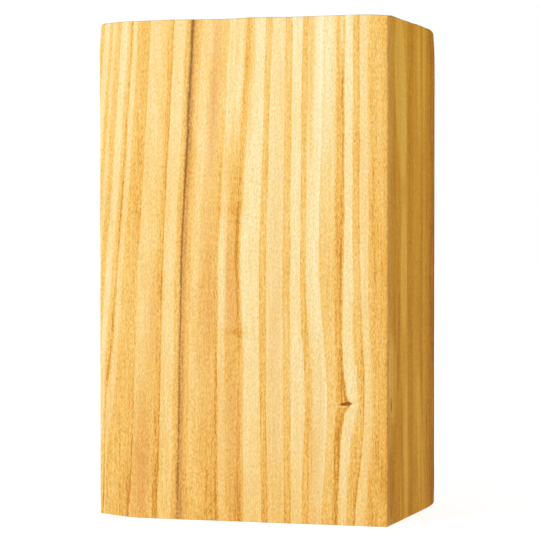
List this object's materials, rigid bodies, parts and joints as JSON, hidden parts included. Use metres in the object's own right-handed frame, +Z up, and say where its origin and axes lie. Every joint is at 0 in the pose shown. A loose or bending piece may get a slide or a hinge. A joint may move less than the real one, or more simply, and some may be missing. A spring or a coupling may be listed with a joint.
{
  "type": "mezuzah case",
  "caption": "Plain upright hardwood block for a doorpost, hollowed at the back for a rolled parchment, that slides down over a dovetailed wall plate.",
  "frame": {"origin": "centre of the rectangle that the whole object covers, at the height of the block's bottom face", "axes": "+Z up the block, +X to the viewer's right when facing the front, +Y back towards the doorpost; the front faces -Y"},
  "size_m": [0.06, 0.0414, 0.1],
  "materials": {
    "case_wood": "oiled and finely sanded, satin",
    "plate_wood": "sanded, matte",
    "nickel_plate": "bright nickel plating",
    "foam_tape": "closed-cell acrylic foam, matte",
    "release_liner": "siliconed paper, slightly glossy",
    "parchment": "blank scraped parchment, matte",
    "clear_film": "clear polypropylene film, glossy"
  },
  "bodies": {
    "wall_mount": {"wall_plate": "plate_wood", "plate_magnet_left": "nickel_plate", "plate_magnet_right": "nickel_plate", "tape_left": "foam_tape", "tape_right": "foam_tape", "liner_left": "release_liner", "liner_right": "release_liner"},
    "case": {"case_block": "case_wood", "case_magnet_left": "nickel_plate", "case_magnet_right": "nickel_plate", "scroll": "parchment", "scroll_film": "clear_film"}
  },
  "joints": [
    {"name": "case_lift", "type": "slide", "parent": "wall_mount", "child": "case", "axis": [0, 0, 1], "range_m": [0, 0.1]}
  ]
}
